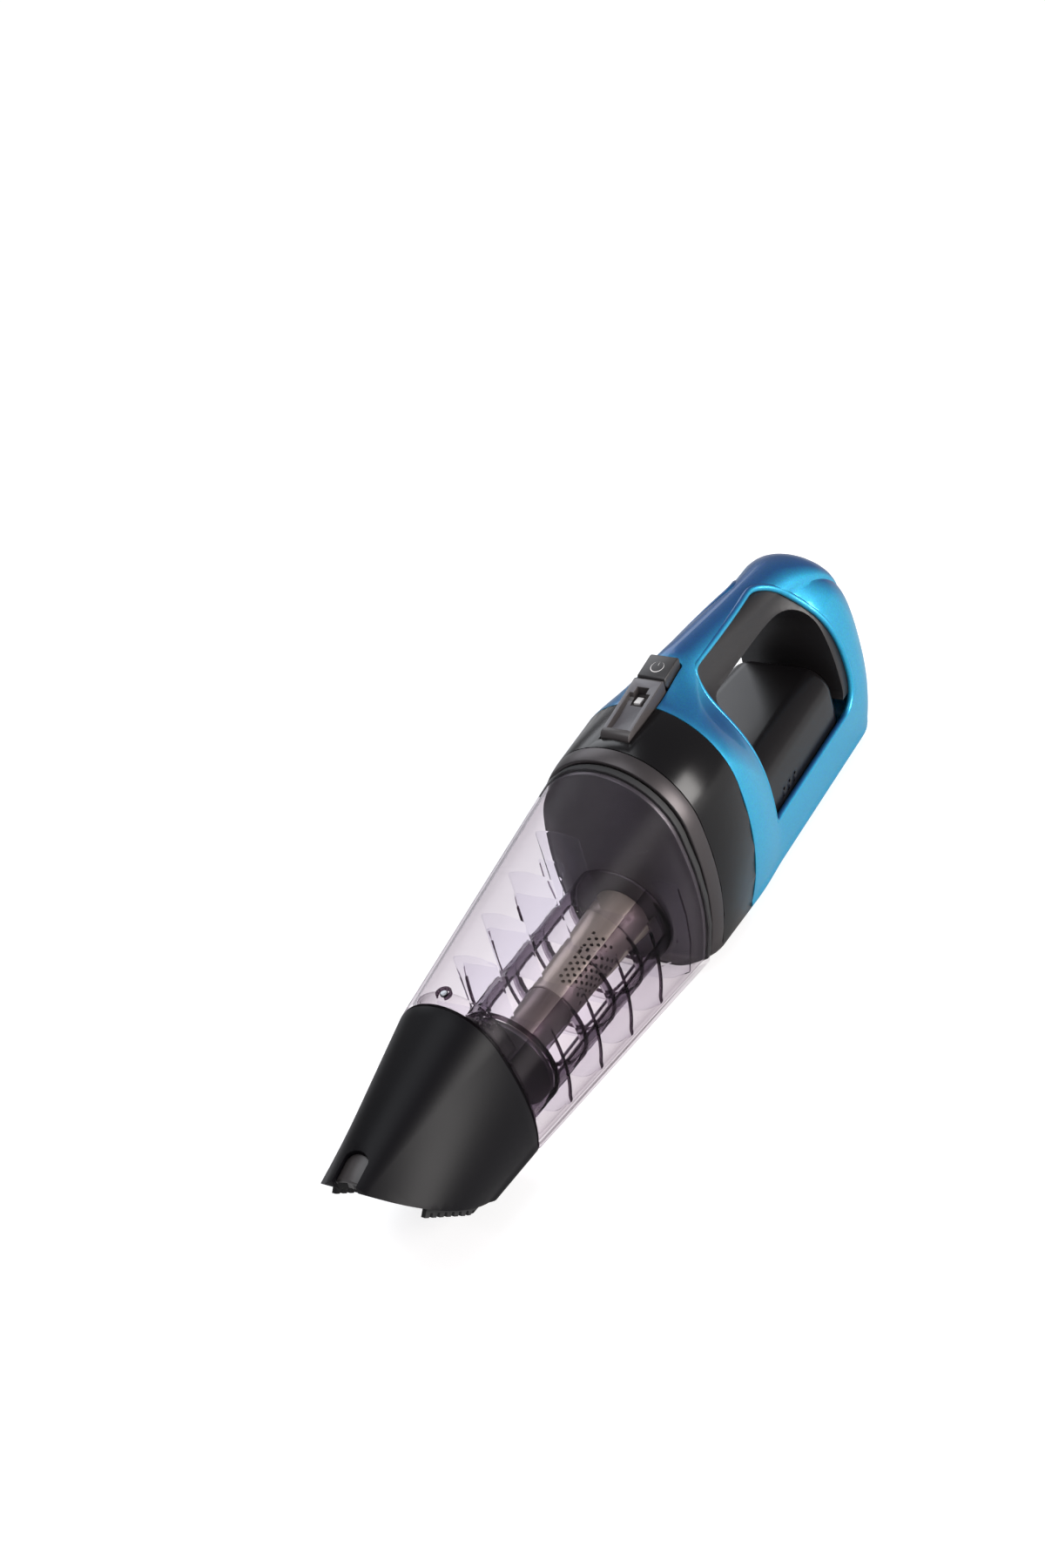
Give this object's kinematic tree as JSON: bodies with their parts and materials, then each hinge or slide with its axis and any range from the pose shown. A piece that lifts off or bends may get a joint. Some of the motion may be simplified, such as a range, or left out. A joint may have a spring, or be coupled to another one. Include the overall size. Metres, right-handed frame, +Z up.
{
  "type": "handheld vacuum",
  "caption": "Cordless handheld vacuum with a slanted nozzle, a clear dust bin over a cyclone filter, and a loop handle with a press button and a bin latch.",
  "frame": {"origin": "centre of the overall box, on the flat underside", "axes": "+X from the nozzle to the handle, +Z up, -Y the left-hand side"},
  "size_m": [0.4514, 0.0916, 0.134],
  "materials": {
    "nozzle": "semi-gloss black",
    "dark_plastic": "satin dark grey",
    "rubber": "soft matt",
    "clear": "clear with a faint violet tint",
    "smoky": "smoky clear",
    "plate": "clear",
    "steel": "fine brushed",
    "cone": "satin charcoal",
    "paper": "pleated filter paper",
    "band": "satin silver grey",
    "gloss_black": "high gloss",
    "blue": "metallic blue",
    "control": "satin grey",
    "metal_can": "satin",
    "cell": "printed sleeve, bare",
    "board": "lacquered board"
  },
  "bodies": {
    "body": {"trim_band": "band", "motor_housing": "gloss_black", "frame_left": "blue", "frame_right": "blue", "grip_liner": "dark_plastic", "barrel_cover": "gloss_black", "motor_plate": "dark_plastic", "motor_can": "metal_can", "battery_cell_1": "cell", "battery_cell_2": "cell", "battery_cell_3": "cell", "battery_cell_4": "cell", "latch_pin": "metal_can", "control_deck": "dark_plastic", "switch_board": "board", "charge_socket": "dark_plastic", "button_spring": "metal_can", "latch_spring": "metal_can"},
    "bin": {"nozzle_shell": "nozzle", "nozzle_tongue": "dark_plastic", "comb_left": "rubber", "comb_right": "rubber", "nozzle_seal": "rubber", "bin_shell": "clear", "catch_pin": "metal_can", "bin_seal": "rubber", "inlet_plate": "smoky"},
    "flap": {"inlet_flap": "rubber"},
    "filter": {"filter_cage": "smoky", "cage_end": "cone", "baffle_1": "plate", "baffle_2": "plate", "baffle_3": "plate", "baffle_4": "plate", "baffle_5": "plate", "filter_tube": "steel", "filter_cone": "cone", "pleated_filter": "paper"},
    "fan": {"impeller": "dark_plastic"},
    "button": {"power_button": "control"},
    "latch": {"bin_latch": "control"}
  },
  "joints": [
    {"name": "bin_slide", "type": "slide", "parent": "body", "child": "bin", "axis": [-1, 0, 0], "range_m": [0, 0.2]},
    {"name": "filter_slide", "type": "slide", "parent": "body", "child": "filter", "axis": [-1, 0, 0], "range_m": [0, 0.09]},
    {"name": "flap_hinge", "type": "hinge", "parent": "bin", "child": "flap", "pos_m": [-0.13075, 0, 0.088], "axis": [0, -1, 0], "range_deg": [0, 60], "stiffness_Nm_per_rad": 0.01},
    {"name": "fan_spin", "type": "hinge", "parent": "body", "child": "fan", "pos_m": [0.03975, 0, 0.041], "axis": [1, 0, 0], "continuous": true},
    {"name": "button_press", "type": "slide", "parent": "body", "child": "button", "axis": [0, 0, -1], "range_m": [0, 0.0015], "stiffness_N_per_m": 400, "deforming": ["button_spring"]},
    {"name": "latch_rock", "type": "hinge", "parent": "body", "child": "latch", "pos_m": [0.06475, 0, 0.1165], "axis": [0, -1, 0], "range_deg": [0, 4], "stiffness_Nm_per_rad": 0.5, "deforming": ["latch_spring"]}
  ],
  "couplings": [
    {"joint": "filter_slide", "follows": "bin_slide", "ratio": 0.45}
  ]
}
